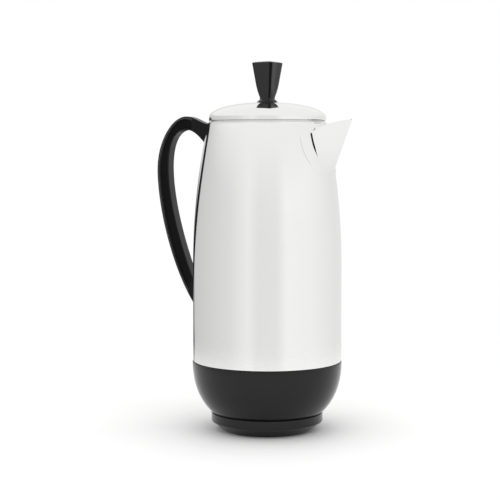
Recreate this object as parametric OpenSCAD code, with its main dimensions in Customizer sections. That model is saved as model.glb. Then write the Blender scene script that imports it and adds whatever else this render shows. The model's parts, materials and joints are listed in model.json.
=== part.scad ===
// Electric coffee percolator, 12 cups.
// +Z is up, the spout points to +X and the handle to -X.
// The origin is the centre of the ring that the pot rests on.

/* [Vessel] */
// Outer radius of the straight part of the steel wall
vessel_r = 65.6; // [64:0.1:67]
// Outer radius at the mouth
mouth_r = 52.2; // [50.5:0.1:54]
// Height of the mouth
mouth_z = 271.4; // [268:0.1:274]
// Height where the wall starts to lean in
lean_z = 145; // [130:1:160]
// Thickness of the steel
steel_t = 1; // [0.8:0.1:1.2]
// Height of the vessel floor, inside
floor_z = 50; // [48:1:52]
// Inner radius of the heater well
well_r = 16; // [15:0.5:18]
// Depth of the heater well
well_depth = 8; // [6:0.5:9]
// Width of the ledge that the lid rests on
ledge_w = 2.6; // [2:0.1:3]

/* [Base] */
// Radius of the base shell's rim
base_r = 66.2; // [65.5:0.1:67]
// Height of the base shell's rim
seam_z = 62.3; // [60:0.1:64]
// Height over which the base shell would close to a point
bowl_h = 67; // [64:1:72]
// Thickness of the base shell
base_t = 2.6; // [2:0.1:3]
// Height of the seam between base shell and foot ring
foot_z = 15.9; // [14:0.1:18]
// Outer radius of the foot ring
foot_r = 49.6; // [48:0.1:52]
// Outer radius of the face that the foot ring rests on
rest_r = 39.2; // [37:0.1:41]
// Height of the foot ring's bevel
foot_bevel = 8.3; // [6:0.1:10]

/* [Spout] */
// Height of the rim at the spout's tip
spout_tip_z = 273.6; // [270:0.1:276]
// Height of the rim where it meets the wall
spout_root_z = 262.6; // [258:0.1:266]
// Lowest point of the spout
spout_low_z = 227; // [220:1:235]
// Half of the angle that the spout takes up on the wall
spout_half_a = 27; // [22:1:32]
// How far the nose leans out, in mm for each mm of height
spout_lean = 0.365; // [0.3:0.005:0.42]
// Thickness of the spout's sheet
spout_t = 1.1; // [0.8:0.1:1.3]

/* [Handle] */
// Width of the handle
handle_w = 12.5; // [11:0.5:16]
// Furthest reach of the handle from the axis
handle_reach = 103.6; // [98:0.1:108]
// Thickness of the handle at the grip
grip_t = 11.1; // [9:0.1:12.5]
// Height of the handle's highest point
handle_top_z = 277.6; // [274:0.1:280]
// Height of the handle's lowest point
handle_low_z = 106.5; // [100:0.5:112]

/* [Lid] */
// Outer radius of the lid
lid_r = 51.4; // [50:0.1:53]
// Height of the lid's lower edge
lid_z = 273.2; // [272:0.1:275]
// Height where the dome of the lid starts
dome_z = 276; // [275:0.1:278]
// Rise of the dome
dome_h = 13.2; // [11:0.1:15]
// Half of the diagonal of the knob's top
knob_r = 13.9; // [12:0.1:16]
// Height of the knob's top
knob_top_z = 325; // [318:0.5:332]
// Turn of the knob about its screw
knob_turn = -8.3; // [-45:0.1:45]

/* [Brewing parts] */
// Outer radius of the pump tube
tube_r = 4.5; // [4:0.1:5]
// Height of the pump tube's open end
tube_top_z = 263; // [258:1:266]
// Outer radius of the basket
basket_r = 44; // [40:0.5:46]
// Height of the basket's floor
basket_z = 205; // [195:1:210]
// Depth of the basket
basket_h = 47; // [40:1:50]
// Thickness of the brewing parts' sheet
brew_t = 0.9; // [0.7:0.1:1.1]
// Radius of the drip holes
drip_r = 1.1; // [0.8:0.1:1.3]

/* [Inlet] */
// Radius of each contact pin
pin_r = 2.38; // [2:0.01:2.5]
// Distance between the two contact pins
pin_gap = 12.7; // [12:0.1:14]
// Length of each pin in the socket
pin_len = 11.5; // [10:0.5:12]
// Height of the socket's centre
inlet_z = 34; // [33:0.5:35]
// Width of the socket
socket_w = 28; // [26:0.5:30]
// Height of the socket
socket_h = 16; // [14:0.5:16]

/* [Hidden] */
$fn = 96;

eps = 0.01;          // overshoot of a cut
snug = 0.15;         // gap between pieces that are fastened together
loose = 0.5;         // gap between pieces that lift apart
arc_steps = 14;      // straight steps in a curved outline
steel = "#d9dadc";
dull_steel = "#b4b6b8";
black = "#232322";
brass = "#c9a24c";

// Radius of the arc in which the wall leans in to the mouth
lean_h = mouth_z - lean_z;
lean_in = vessel_r - mouth_r;
lean_arc = (lean_h * lean_h + lean_in * lean_in) / (2 * lean_in);

// Outer radius of the steel wall at a height
function wall_r(z) =
    z <= lean_z ? vessel_r : vessel_r - lean_arc + sqrt(lean_arc * lean_arc - pow(z - lean_z, 2));

// Outer radius of the base bowl at a height, for a bowl that is inset by some amount
function bowl_r(z, inset = 0) =
    (base_r - inset) * sqrt(max(0, 1 - pow((seam_z - z) / (bowl_h - inset), 2)));

// Height of the lid's dome at a radius, for a dome that is inset by some amount
function dome_at(r, inset = 0) =
    dome_z + (dome_h - inset) * sqrt(max(0, 1 - pow(r / (lid_r - inset), 2.2)));

// Point on a curve with four control points
function curve_at(c, t) =
    pow(1 - t, 3) * c[0] + 3 * t * pow(1 - t, 2) * c[1] + 3 * t * t * (1 - t) * c[2] + t * t * t * c[3];
function curve(c, steps) = [for (i = [0:steps]) curve_at(c, i / steps)];

// Ring with a rectangular section
module ring(r_out, r_in, z, h) {
    translate([0, 0, z])
        difference() {
            cylinder(r = r_out, h = h);
            translate([0, 0, -eps]) cylinder(r = r_in, h = h + 2 * eps);
        }
}

// Rings of round holes, given as [radius, count]
module hole_rings(rings, hole_r, z, h) {
    for (row = rings)
        for (i = [0:row[1] - 1])
            rotate([0, 0, 360 * i / row[1]])
                translate([row[0], 0, z]) cylinder(r = hole_r, h = h, $fn = 16);
}

// Puts its children on the handle's side of the wall, their Z along the wall's outward normal
module on_handle_wall(z) {
    lean = z <= lean_z ? 0 : asin((z - lean_z) / lean_arc);
    translate([-wall_r(z), 0, z]) rotate([0, lean - 90, 0]) children();
}

/* ---- Vessel ---- */
neck_r = 61;                       // the wall steps in to here, inside the base shell
neck_top = seam_z + 0.1;
pan_low_z = floor_z - 5;           // lower edge of the wall and of the floor pan's skirt
mouth_in_r = mouth_r - ledge_w;    // clear opening of the mouth
rim_t = 1.2;                       // thickness of the rolled rim
strainer_r = 1.6;                  // radius of the holes behind the spout
strainer_rows = 5;
strainer_pitch = 5.2;
strainer_low_z = 240;
screw_r = 2;                       // shank radius of the handle's screws
handle_screw_z = [262.5, 116];     // heights of the handle's two screws

module vessel() {
    arc = [for (i = [0:arc_steps]) let (z = lean_z + lean_h * i / arc_steps) [wall_r(z), z]];
    inner_arc = [for (i = [arc_steps:-1:0])
        let (z = min(lean_z + lean_h * i / arc_steps, mouth_z - rim_t)) [wall_r(z) - steel_t, z]];
    profile = concat(
        [[neck_r, pan_low_z], [neck_r, neck_top], [vessel_r, neck_top]],
        arc,
        [[mouth_in_r, mouth_z], [mouth_in_r, mouth_z - rim_t]],
        inner_arc,
        [[vessel_r - steel_t, neck_top + steel_t],
         [neck_r - steel_t, neck_top + steel_t],
         [neck_r - steel_t, pan_low_z]]);
    color(steel)
        difference() {
            rotate_extrude() polygon(profile);
            for (row = [0:strainer_rows - 1])
                for (i = [-row / 2:row / 2])
                    rotate([0, 0, i * strainer_pitch])
                        translate([wall_r(strainer_low_z) - 12, 0, strainer_low_z + row * strainer_pitch])
                            rotate([0, 90, 0]) cylinder(r = strainer_r, h = 20, $fn = 20);
            for (z = handle_screw_z)
                on_handle_wall(z) translate([0, 0, -5]) cylinder(r = screw_r + 0.1, h = 10, $fn = 32);
        }
}

// Pressed floor with the heater well; its skirt is welded into the vessel's neck
module floor_pan() {
    out_r = neck_r - steel_t - 0.05;
    under_z = floor_z - steel_t;
    color(steel)
        rotate_extrude()
            polygon([[0, under_z - well_depth], [well_r + steel_t, under_z - well_depth],
                     [well_r + steel_t, under_z], [out_r - steel_t, under_z],
                     [out_r - steel_t, pan_low_z], [out_r, pan_low_z], [out_r, floor_z],
                     [well_r, floor_z], [well_r, floor_z - well_depth], [0, floor_z - well_depth]]);
}

/* ---- Spout ---- */
spout_cols = 9;            // columns on each side of the nose
spout_rows = 12;
flange_a = 12.5;           // angle that the spout's flange adds on each side
flange_cols = 3;           // columns across each side of the flange
flange_drop = 4.5;         // how much lower the flange's outer corner is than its inner one
flange_t = 0.6;            // how far the flange stands off the wall
nose_round = 0.14;         // share of the width over which the nose is rounded
nose_low_r = wall_r(spout_low_z) + 0.5;   // radius of the nose at its lowest point

// Share of the way from nose to root, rounded at the nose
function across(u) = (sqrt(u * u + nose_round * nose_round) - nose_round)
    / (sqrt(1 + nose_round * nose_round) - nose_round);
// Height of the spout's rim at a share u of the way to the root
function spout_rim(u) = spout_tip_z - (spout_tip_z - spout_root_z) * u * u;
// Point of the spout's sheet: v runs up from the lowest point, u from one root to the other
function spout_point(v, u, inset) =
    let (low = spout_low_z + inset * 3,
         top = spout_rim(min(1, abs(u))) - flange_drop * pow(max(0, abs(u) - 1), 2),
         z = low + v * (top - low),
         skin = wall_r(z) + snug,
         half = spout_half_a * sqrt(1 - pow(1 - (0.02 + 0.98 * v), 2)) - inset * 1.1,
         nose = max(skin, nose_low_r + spout_lean * (z - spout_low_z) - inset),
         root = skin * [cos(half), sin(half)],
         k = across(min(1, abs(u))),
         side = sign(u))
    abs(u) <= 1
    ? [nose + (root[0] - nose) * k, side * root[1] * k, z]
    : let (a = half + inset * 1.1 + flange_a * (abs(u) - 1), r = skin + (inset > 0 ? 0 : flange_t))
      [r * cos(a), side * r * sin(a), z];

module spout() {
    flange = [for (i = [1:flange_cols]) 1 + i / flange_cols];
    us = concat([for (i = [flange_cols:-1:1]) -1 - i / flange_cols],
                [for (i = [-spout_cols:spout_cols]) i / spout_cols], flange);
    vs = [for (i = [0:spout_rows]) 1 - cos(90 * i / spout_rows)];
    n = len(us);
    m = len(vs);
    skins = [0, spout_t];
    points = [for (inset = skins) for (v = vs) for (u = us) spout_point(v, u, inset)];
    outer = [for (j = [0:m - 2]) for (i = [0:n - 2])
        [j * n + i, (j + 1) * n + i, (j + 1) * n + i + 1, j * n + i + 1]];
    inner = [for (f = outer) [f[3] + n * m, f[2] + n * m, f[1] + n * m, f[0] + n * m]];
    top = (m - 1) * n;
    rim = [for (i = [0:n - 2]) [top + i, top + i + n * m, top + i + 1 + n * m, top + i + 1]];
    low = [for (i = [0:n - 2]) [i, i + 1, i + 1 + n * m, i + n * m]];
    sides = [for (j = [0:m - 2]) for (e = [[0, 1], [n - 1, 0]])
        let (a = j * n + e[0], b = a + n)
        e[1] == 1 ? [a, a + n * m, b + n * m, b] : [a, b, b + n * m, a + n * m]];
    quads = concat(outer, inner, rim, low, sides);
    triangles = [for (q = quads) for (t = [[q[0], q[1], q[2]], [q[0], q[2], q[3]]]) t];
    color(steel) polyhedron(points = points, faces = triangles, convexity = 6);
}

/* ---- Handle ---- */
insert_r = 3;
insert_len = [7, 5];       // lengths of the upper and lower threaded inserts

module handle() {
    grip_r = handle_reach - grip_t;
    outer_top = curve([[54, 270.5], [62, 272], [68, handle_top_z], [75.5, handle_top_z]], 4);
    outer_bend = curve([[75.5, handle_top_z], [88.8, handle_top_z],
                        [handle_reach, 256], [handle_reach, 230]], 10);
    outer_leg = curve([[handle_reach, 230], [handle_reach, 195], [88.8, 138], [66, handle_low_z]], 12);
    inner_leg = curve([[64, 121], [79.2, 155], [grip_r, 200], [grip_r, 232]], 12);
    inner_bend = curve([[grip_r, 232], [grip_r, 252], [87.2, 263.5], [78, 265.5]], 8);
    inner_top = curve([[78, 265.5], [68, 267], [62, 259], [54, 250]], 6);
    inside = [[vessel_r - 10, handle_low_z]];
    color(black)
        difference() {
            rotate([90, 0, 0])
                linear_extrude(height = handle_w, center = true)
                    mirror([1, 0])
                        polygon(concat([[50, 270]], outer_top, [for (i = [1:10]) outer_bend[i]],
                            [for (i = [1:12]) outer_leg[i]], inside,
                            inner_leg, [for (i = [1:8]) inner_bend[i]],
                            [for (i = [1:6]) inner_top[i]], [[50, 250]]));
            vessel_envelope(snug);
            for (i = [0, 1])
                on_handle_wall(handle_screw_z[i])
                    translate([0, 0, -1]) cylinder(r = insert_r, h = insert_len[i] + 1 + snug + 0.3, $fn = 32);
        }
}

// Everything inside the vessel's outer face, grown by a gap
module vessel_envelope(gap) {
    arc = [for (i = [0:arc_steps]) let (z = lean_z + lean_h * i / arc_steps) [wall_r(z) + gap, z]];
    rotate_extrude()
        polygon(concat([[0, seam_z], [vessel_r + gap, seam_z]], arc, [[0, mouth_z]]));
}

module handle_inserts() {
    color(brass)
        for (i = [0, 1])
            on_handle_wall(handle_screw_z[i])
                translate([0, 0, snug + 0.3])
                    difference() {
                        cylinder(r = insert_r - 0.05, h = insert_len[i] - 0.2, $fn = 32);
                        translate([0, 0, -1]) cylinder(r = screw_r + 0.05, h = insert_len[i] + 2, $fn = 32);
                    }
}

seal_t = 0.8;
seal_gap = 0.25;           // the flat seal stands this far off the curved wall
head_h = 1.3;
head_r = 3.4;
seal_low = -steel_t - seal_gap - seal_t;
module handle_screws() {
    color(dull_steel)
        for (i = [0, 1])
            on_handle_wall(handle_screw_z[i])
                translate([0, 0, seal_low - 0.05]) {
                    cylinder(r = screw_r, h = insert_len[i] - seal_low, $fn = 32);
                    translate([0, 0, -head_h])
                        difference() {
                            cylinder(r = head_r, h = head_h, $fn = 32);
                            translate([-5, -0.5, -eps]) cube([10, 1, 0.7]);
                        }
                }
}

module handle_seals() {
    color("#8a3b2a")
        for (z = handle_screw_z)
            on_handle_wall(z)
                translate([0, 0, seal_low])
                    difference() {
                        cylinder(r = head_r + 1.1, h = seal_t, $fn = 32);
                        translate([0, 0, -1]) cylinder(r = screw_r + 0.1, h = seal_t + 2, $fn = 32);
                    }
}

/* ---- Base ---- */
inlet_w = socket_w + 9;
inlet_h = socket_h + 5;
inlet_back_x = 38;                 // distance of the housing's back from the axis
socket_back_x = 41.5;              // distance of the socket's floor from the axis
shell_hole_r = 40;                 // opening in the floor of the base shell
spigot_r = 46;                     // ring under the base shell that centres the foot ring
spigot_h = 2.6;

module base_shell() {
    zs = [for (i = [0:arc_steps]) foot_z + (seam_z - foot_z) * i / arc_steps];
    outer = [for (z = zs) [bowl_r(z), z]];
    inner = [for (i = [arc_steps:-1:0])
        let (z = max(zs[i], foot_z + base_t)) [bowl_r(z, base_t), z]];
    profile = concat(
        [[shell_hole_r, foot_z], [spigot_r - base_t, foot_z], [spigot_r - base_t, foot_z - spigot_h],
         [spigot_r, foot_z - spigot_h], [spigot_r, foot_z]],
        outer, inner, [[shell_hole_r, foot_z + base_t]]);
    color(black)
        difference() {
            rotate_extrude() polygon(profile);
            translate([-base_r - 1, -inlet_w / 2 - 0.3, inlet_z - inlet_h / 2 - 0.3])
                cube([base_r - inlet_back_x, inlet_w + 0.6, inlet_h + 0.6]);
        }
}

module base_gasket() {
    color("#8a3b2a") ring(neck_r + 2.2, neck_r + 0.1, 55.5, 5.8);
}

ring_t = 3.2;                      // thickness of the foot ring at its resting face
module foot_ring() {
    ledge_r = 34;                  // clear opening under the pot
    color(black)
        rotate_extrude()
            polygon([[ledge_r, 0], [rest_r, 0], [foot_r, foot_bevel], [foot_r, foot_z - 0.8],
                     [foot_r - 0.9, foot_z - 0.1], [spigot_r + 0.2, foot_z - 0.1],
                     [spigot_r + 0.2, foot_bevel + 1.4], [rest_r - 0.8, ring_t], [ledge_r, ring_t]]);
}

stud_r = 3;
plate_z = ring_t + 0.1;            // underside of the bottom plate's edge
plate_t = 1.2;
plate_rise = 4.2;                  // the plate's middle is raised to hide the nut
plate_step_r = 18;
vent_r = 2;
module bottom_plate() {
    out_r = rest_r - 1.4;
    high_z = plate_z + plate_rise;
    color(dull_steel)
        difference() {
            rotate_extrude()
                polygon([[0, high_z], [plate_step_r, high_z], [plate_step_r + 4, plate_z],
                         [out_r, plate_z], [out_r, plate_z + plate_t], [plate_step_r + 4.6, plate_z + plate_t],
                         [plate_step_r + 0.6, high_z + plate_t], [0, high_z + plate_t]]);
            translate([0, 0, plate_z]) cylinder(r = stud_r + 0.1, h = 10, $fn = 32);
            for (a = [45:90:315])
                rotate([0, 0, a])
                    translate([(plate_step_r + 4 + out_r) / 2, 0, 0]) cylinder(r = vent_r, h = 10, $fn = 24);
        }
}

nut_h = 3;
module centre_nut() {
    color(dull_steel)
        translate([0, 0, plate_z + plate_rise - nut_h - 0.02])
            difference() {
                cylinder(r = 5.8, h = nut_h, $fn = 6);
                translate([0, 0, -1]) cylinder(r = stud_r + 0.05, h = nut_h + 2, $fn = 32);
            }
}

well_under_z = floor_z - well_depth - steel_t;
stud_low_z = 3.8;
stud_pad_r = 7;                    // pad that is welded under the heater well
stud_pad_t = 2;
shield_z = 29.6;                   // underside of the heat shield
module centre_stud() {
    color(dull_steel) {
        translate([0, 0, stud_low_z]) cylinder(r = stud_r, h = well_under_z - stud_low_z - 0.02, $fn = 32);
        translate([0, 0, well_under_z - stud_pad_t - 0.02]) cylinder(r = stud_pad_r, h = stud_pad_t, $fn = 48);
        translate([0, 0, shield_z - 2.1]) cylinder(r = stud_r + 2, h = 2, $fn = 32);
    }
}

/* ---- Heating parts ---- */
heater_z = 45.6;                   // underside of the heater plate
plate_r = 52;                      // radius of the heater plate
coil_tube_r = 3;                   // radius of the main element's tube
coil_r = 22.5;                     // radius of its bend
warm_tube_r = 1.9;                 // radius of the keep-warm element's tube
warm_r = 46.5;                     // radius of its bend
sleeve_extra = 0.4;                // how much thicker the end sleeves are than the tube
module heater_plate() {
    color("#c4c6c8") ring(plate_r, well_r + steel_t + 0.3, heater_z, floor_z - steel_t - heater_z - 0.05);
}

// Horseshoe of tube whose two ends turn down in slightly thicker end sleeves
module horseshoe(bend_r, tube, z, open_a, leg) {
    rotate([0, 0, open_a / 2])
        translate([0, 0, z])
            rotate_extrude(angle = 360 - open_a) translate([bend_r, 0]) circle(r = tube, $fn = 32);
    for (a = [open_a / 2, -open_a / 2])
        rotate([0, 0, a])
            translate([bend_r, 0, z - leg]) cylinder(r = tube + sleeve_extra, h = leg + tube - 0.3, $fn = 32);
}

module heating_element() {
    color("#6d6a66") horseshoe(coil_r, coil_tube_r, heater_z - coil_tube_r - 0.05, 60, 9);
}

module keep_warm_element() {
    color("#a8a29a") rotate([0, 0, 180]) horseshoe(warm_r, warm_tube_r, heater_z - warm_tube_r - 0.05, 70, 5);
}

shield_r = 33;
shield_t = 0.8;
module heat_shield() {
    color("#cfd1d3")
        difference() {
            ring(shield_r, stud_r + 0.1, shield_z, shield_t);
            for (a = [30, -30])
                rotate([0, 0, a])
                    translate([coil_r, 0, shield_z - 1]) cylinder(r = coil_tube_r + 1, h = 3, $fn = 32);
        }
}

sensor_y = 34.6;                   // distance of thermostat and fuse from the middle
sensor_r = 7;
tab_x = 3.5;                       // distance of the thermostat's tabs from its middle
module thermostat() {
    color("#3c3a37")
        translate([0, sensor_y, heater_z - sensor_r - 0.05]) {
            cylinder(r = sensor_r, h = sensor_r, $fn = 48);
            for (x = [-tab_x, tab_x])
                translate([x - 0.4, -1.5, -4.95]) cube([0.8, 3, 5.2]);
        }
}

clip_w = 30;
module thermostat_clip() {
    color(dull_steel)
        translate([0, sensor_y, heater_z - sensor_r - 1.1])
            difference() {
                translate([-clip_w / 2, -4, 0]) cube([clip_w, 8, 0.8]);
                translate([-tab_x - 2, -2.5, -1]) cube([2 * tab_x + 4, 5, 3]);
                for (x = [-clip_w / 2 + 3, clip_w / 2 - 3])
                    translate([x, 0, -1]) cylinder(r = 1.6, h = 3, $fn = 24);
            }
}

fuse_r = 3;
fuse_len = 12;
fuse_wire_len = 22;
module thermal_fuse() {
    color("#d8cfae")
        translate([0, -sensor_y, heater_z - fuse_r - 0.1])
            rotate([0, 90, 0]) {
                translate([0, 0, -fuse_len / 2]) cylinder(r = fuse_r, h = fuse_len, $fn = 32);
                translate([0, 0, -fuse_wire_len / 2]) cylinder(r = 0.7, h = fuse_wire_len, $fn = 16);
            }
}

/* ---- Appliance inlet ---- */
shank_r = 2;                       // a pin is thinner where it passes through the housing
pin_back_x = 34;                   // distance of a pin's back end from the axis
pin_low_x = socket_back_x + 0.5;   // distance of the thick part's start from the axis
module inlet_housing() {
    color("#2c2b2a")
        difference() {
            intersection() {
                translate([-base_r, -inlet_w / 2, inlet_z - inlet_h / 2])
                    cube([base_r - inlet_back_x, inlet_w, inlet_h]);
                rotate_extrude()
                    polygon(concat([[0, inlet_z - inlet_h]],
                        [for (i = [0:8]) let (z = inlet_z - inlet_h + 2 * inlet_h * i / 8) [bowl_r(z, 0.8), z]],
                        [[0, inlet_z + inlet_h]]));
            }
            translate([-base_r - 1, -socket_w / 2, inlet_z - socket_h / 2])
                cube([base_r + 1 - socket_back_x, socket_w, socket_h]);
            for (y = [-pin_gap / 2, pin_gap / 2])
                translate([-socket_back_x - 1, y, inlet_z])
                    rotate([0, 90, 0]) cylinder(r = shank_r + 0.05, h = 6, $fn = 48);
        }
}

module inlet_pins() {
    color("#d0cfc8")
        for (y = [-pin_gap / 2, pin_gap / 2])
            translate([0, y, inlet_z])
                rotate([0, -90, 0]) {
                    translate([0, 0, pin_back_x]) cylinder(r = shank_r, h = pin_low_x - pin_back_x, $fn = 48);
                    translate([0, 0, pin_low_x]) cylinder(r = pin_r, h = pin_len, $fn = 48);
                }
}

bracket_x = 36.4;                  // distance of the bracket's inner face from the axis
bracket_t = 1.5;
bracket_w = 44;
bracket_h = 12;
inlet_screw_y = 16.2;
inlet_screw_r = 1.5;
module inlet_bracket() {
    color(dull_steel)
        difference() {
            translate([-bracket_x - bracket_t, -bracket_w / 2, inlet_z - bracket_h / 2])
                cube([bracket_t, bracket_w, bracket_h]);
            for (y = [-pin_gap / 2, pin_gap / 2])
                translate([-bracket_x - 3, y, inlet_z])
                    rotate([0, 90, 0]) cylinder(r = pin_r + 0.4, h = 5, $fn = 32);
            for (y = [-inlet_screw_y, inlet_screw_y])
                translate([-bracket_x - 3, y, inlet_z])
                    rotate([0, 90, 0]) cylinder(r = inlet_screw_r + 0.1, h = 5, $fn = 32);
        }
}

module inlet_screws() {
    color(dull_steel)
        for (y = [-inlet_screw_y, inlet_screw_y])
            translate([-bracket_x + 0.05, y, inlet_z])
                rotate([0, -90, 0]) {
                    cylinder(r = inlet_screw_r, h = bracket_t - 0.1, $fn = 32);
                    translate([0, 0, -1.6]) cylinder(r = 2.8, h = 1.6, $fn = 32);
                }
}

lead_r = 1.1;
lead_sides = 8;
function unit(v) = v / norm(v);
// Insulated lead that runs from point to point: one closed tube with a ring at each point
module lead(path) {
    last = len(path) - 1;
    rings = [for (i = [0:last])
        let (along = unit(path[min(i + 1, last)] - path[max(i - 1, 0)]),
             side = unit(cross(along, [0.31, 0.17, 0.93])),
             up = cross(along, side))
        for (k = [0:lead_sides - 1])
            let (a = 360 * k / lead_sides) path[i] + lead_r * (cos(a) * side + sin(a) * up)];
    walls = [for (i = [0:last - 1]) for (k = [0:lead_sides - 1])
        let (a = i * lead_sides + k, b = i * lead_sides + (k + 1) % lead_sides)
        for (face = [[a, b, b + lead_sides], [a, b + lead_sides, a + lead_sides]]) face];
    ends = [[for (k = [lead_sides - 1:-1:0]) k], [for (k = [0:lead_sides - 1]) last * lead_sides + k]];
    polyhedron(points = rings, faces = concat(walls, ends), convexity = 8);
}

module inner_leads() {
    y = pin_gap / 2;
    end_z = heater_z - 13.3;       // just under the ends of the element and the thermostat's tabs
    fuse_z = heater_z - fuse_r - 0.1;
    wire = fuse_wire_len / 2 + 0.4;
    leg = coil_r * [cos(30), sin(30)];
    color("#c8c4b4") {
        lead([[-pin_back_x + 0.05, y, inlet_z], [-30, y, inlet_z], [-16, 24, 32.6], [-tab_x, sensor_y, end_z]]);
        lead([[tab_x, sensor_y, end_z], [12, 26, end_z], [leg[0], leg[1], end_z]]);
        lead([[-pin_back_x + 0.05, -y, inlet_z], [-30, -y, inlet_z], [-24, -22, 36], [-18.5, -33, 42],
              [-wire, -sensor_y, fuse_z]]);
        lead([[wire, -sensor_y, fuse_z], [18, -31, 41], [22, -22, end_z], [leg[0], -leg[1], end_z]]);
    }
}

/* ---- Lid ---- */
knob_screw_r = 2;
module lid_shell() {
    t = steel_t;
    rs = [for (i = [0:arc_steps]) lid_r * sin(90 * i / arc_steps)];
    outer = [for (i = [arc_steps:-1:0]) [rs[i], dome_at(rs[i])]];
    inner = [for (i = [0:arc_steps]) let (r = rs[i] * (lid_r - t) / lid_r) [r, dome_at(r, t)]];
    color(steel)
        difference() {
            rotate_extrude()
                polygon(concat([[lid_r, lid_z]], outer, inner, [[lid_r - t, lid_z]]));
            cylinder(r = knob_screw_r + 0.1, h = 400, $fn = 32);
        }
}

skirt_r = mouth_in_r - 0.5;
skirt_low_z = 260;
module lid_skirt() {
    t = 0.8;
    flange_r = mouth_in_r + 1.6;
    top_r = lid_r - steel_t - 0.2;
    color(steel)
        rotate_extrude()
            polygon([[skirt_r - t, skirt_low_z], [skirt_r, skirt_low_z], [skirt_r, mouth_z + 0.05],
                     [flange_r, mouth_z + 0.05], [flange_r, mouth_z + 0.85], [skirt_r, mouth_z + 0.85],
                     [skirt_r, 274.6], [top_r, 274.6], [top_r, 275.6], [skirt_r - t, 275.6]]);
}

knob_low_z = dome_z + dome_h + 0.02;
knob_foot_r = 9.1;
waist_r = 6.7;
waist_z = knob_low_z + 4.4;
crown = 2.5;                       // width of the slope round the knob's top
module lid_knob() {
    side = knob_r * sqrt(2);
    color(black)
        difference() {
            rotate([0, 0, knob_turn])
                union() {
                    translate([0, 0, knob_low_z]) cylinder(r1 = knob_foot_r, r2 = waist_r, h = 2.6, $fn = 64);
                    translate([0, 0, knob_low_z + 2.5]) cylinder(r = waist_r, h = 2.4, $fn = 64);
                    hull() {
                        translate([0, 0, waist_z]) cylinder(r = waist_r, h = 0.5, $fn = 32);
                        translate([-side / 2, -side / 2, knob_top_z - 4]) cube([side, side, 2]);
                        translate([-side / 2 + crown, -side / 2 + crown, knob_top_z - 1])
                            cube([side - 2 * crown, side - 2 * crown, 1]);
                    }
                }
            translate([0, 0, knob_low_z - 1]) cylinder(r = knob_screw_r + 0.05, h = 20, $fn = 32);
        }
}

module knob_screw() {
    under = dome_at(0, steel_t);
    color(dull_steel) {
        translate([0, 0, under - 1.1]) cylinder(r = knob_screw_r, h = 15, $fn = 32);
        translate([0, 0, under - 3.1])
            difference() {
                cylinder(r = 4, h = 2.05, $fn = 32);
                translate([-5, -0.5, -eps]) cube([10, 1, 0.9]);
            }
    }
}

module knob_washer() {
    color(dull_steel) ring(6, knob_screw_r + 0.1, dome_at(0, steel_t) - 1.0, 0.8);
}

/* ---- Brewing parts ---- */
sleeve_in_r = tube_r + loose;
sleeve_out_r = sleeve_in_r + 1;
module pump_tube() {
    color(steel) ring(tube_r, tube_r - 0.8, floor_z - well_depth + 5, tube_top_z - floor_z + well_depth - 5);
}

foot_low_z = floor_z - well_depth + 0.3;
module pump_foot() {
    r = well_r - loose;
    t = brew_t;
    h = 14;
    color(steel)
        difference() {
            rotate_extrude()
                polygon([[r - t, foot_low_z], [r, foot_low_z], [r, foot_low_z + 4], [tube_r + 3, foot_low_z + h],
                         [tube_r + 0.05, foot_low_z + h], [tube_r + 0.05, foot_low_z + h - t],
                         [tube_r + 2.5, foot_low_z + h - t], [r - t, foot_low_z + 3.6]]);
            for (a = [0:60:300])
                rotate([0, 0, a])
                    translate([r - 4, 0, foot_low_z + 1.6]) rotate([0, 90, 0]) cylinder(r = 1.1, h = 6, $fn = 24);
        }
}

valve_z = 50;
module pump_valve() {
    color(dull_steel) ring(9, tube_r + 0.4, valve_z, 0.8);
}

module basket_collar() {
    color(steel) ring(8, tube_r + 0.05, basket_z - 4, 3.9);
}

module basket() {
    floor_rings = [[12, 10], [20, 16], [28, 22], [36, 28]];
    lip_r = basket_r + 2;
    color(steel)
        difference() {
            union() {
                ring(basket_r, basket_r - brew_t, basket_z, basket_h);
                ring(basket_r, sleeve_out_r + 0.05, basket_z, brew_t);
                ring(lip_r, basket_r - brew_t, basket_z + basket_h - brew_t, brew_t);
            }
            hole_rings(floor_rings, drip_r, basket_z - 1, 3);
        }
}

module basket_sleeve() {
    color(steel) ring(sleeve_out_r, sleeve_in_r, basket_z, basket_h + 2);
}

spreader_z = basket_z + basket_h + 0.1;
module spreader() {
    rings = [[16, 10], [26, 16], [36, 22]];
    color(steel)
        difference() {
            union() {
                ring(basket_r + 1.6, sleeve_out_r + loose, spreader_z, brew_t);
                ring(basket_r + 1.6, basket_r + 0.7, spreader_z, 4);
            }
            hole_rings(rings, drip_r, spreader_z - 1, 3);
        }
}

vessel();
floor_pan();
spout();
handle();
handle_inserts();
handle_screws();
handle_seals();
base_shell();
base_gasket();
foot_ring();
bottom_plate();
centre_stud();
centre_nut();
heater_plate();
heating_element();
keep_warm_element();
heat_shield();
thermostat();
thermostat_clip();
thermal_fuse();
inlet_housing();
inlet_pins();
inlet_bracket();
inlet_screws();
inner_leads();
lid_shell();
lid_skirt();
lid_knob();
knob_screw();
knob_washer();
spreader();
basket();
basket_sleeve();
pump_tube();
pump_foot();
basket_collar();
pump_valve();
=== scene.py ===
"""Looks of an electric coffee percolator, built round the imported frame. Outlines are in millimetres."""
import json
import math

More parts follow.
